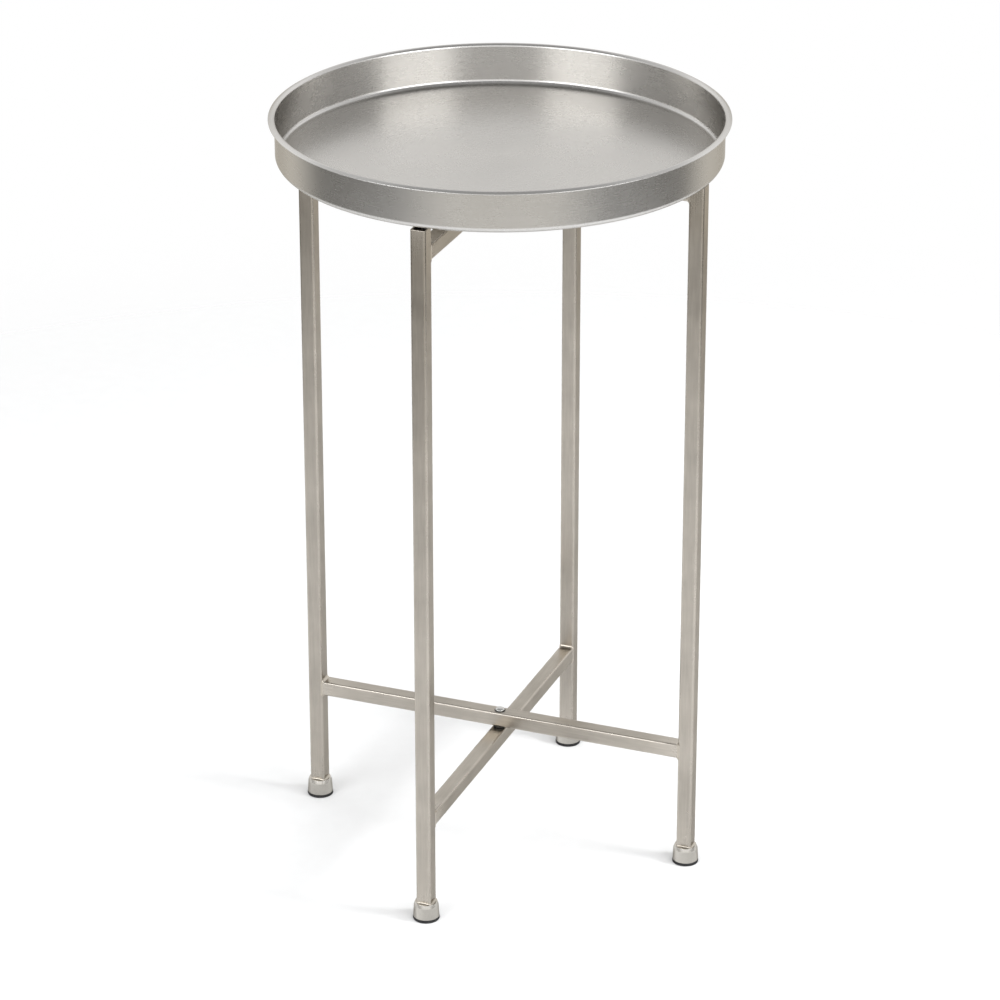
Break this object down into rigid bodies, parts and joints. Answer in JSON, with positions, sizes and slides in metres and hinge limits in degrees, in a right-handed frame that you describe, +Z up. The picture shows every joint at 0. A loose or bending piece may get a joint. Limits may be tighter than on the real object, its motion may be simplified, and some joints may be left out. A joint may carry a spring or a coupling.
{
  "type": "round tray side table",
  "caption": "Slim round side table: a lift-off metal tray with upright wall and rolled lip on a folding base of crossed square-tube frames with small round feet.",
  "frame": {"origin": "on the floor, on the vertical axis that the two frames fold about, which is also the tray's axis", "axes": "+Z up; +X along the main frame's bars towards its right leg; +Y along the cross frame's bars towards its back leg"},
  "size_m": [0.366, 0.366, 0.6383],
  "materials": {
    "tray_metal": "satin nickel plate over spun steel, finely brushed round the tray",
    "frame_metal": "satin nickel plate over square steel tube, brushed along its length",
    "ferrule_metal": "satin nickel plate, with a brighter shoulder",
    "saddle_metal": "satin nickel plate over pressed steel",
    "rivet_steel": "bright plated steel",
    "glide_rubber": "matt black rubber"
  },
  "bodies": {
    "main_frame": {"main_leg_left": "frame_metal", "main_leg_right": "frame_metal", "main_top_bar": "frame_metal", "main_low_bar": "frame_metal", "main_ferrule_left": "ferrule_metal", "main_ferrule_right": "ferrule_metal", "main_glide_left": "glide_rubber", "main_glide_right": "glide_rubber", "top_rivet": "rivet_steel", "low_rivet": "rivet_steel", "top_washer": "rivet_steel", "low_washer": "rivet_steel"},
    "cross_frame": {"cross_leg_front": "frame_metal", "cross_leg_back": "frame_metal", "cross_top_bar": "frame_metal", "cross_low_bar": "frame_metal", "cross_ferrule_front": "ferrule_metal", "cross_ferrule_back": "ferrule_metal", "cross_glide_front": "glide_rubber", "cross_glide_back": "glide_rubber"},
    "tray": {"tray_pan": "tray_metal", "tray_saddle_left": "saddle_metal", "tray_saddle_right": "saddle_metal"}
  },
  "joints": [
    {"name": "frame_fold", "type": "hinge", "parent": "main_frame", "child": "cross_frame", "pos_m": [0, 0, 0.1], "axis": [0, 0, 1], "range_deg": [-82, 82]},
    {"name": "tray_lift", "type": "slide", "parent": "main_frame", "child": "tray", "axis": [0, 0, 1], "range_m": [0, 0.1]}
  ]
}
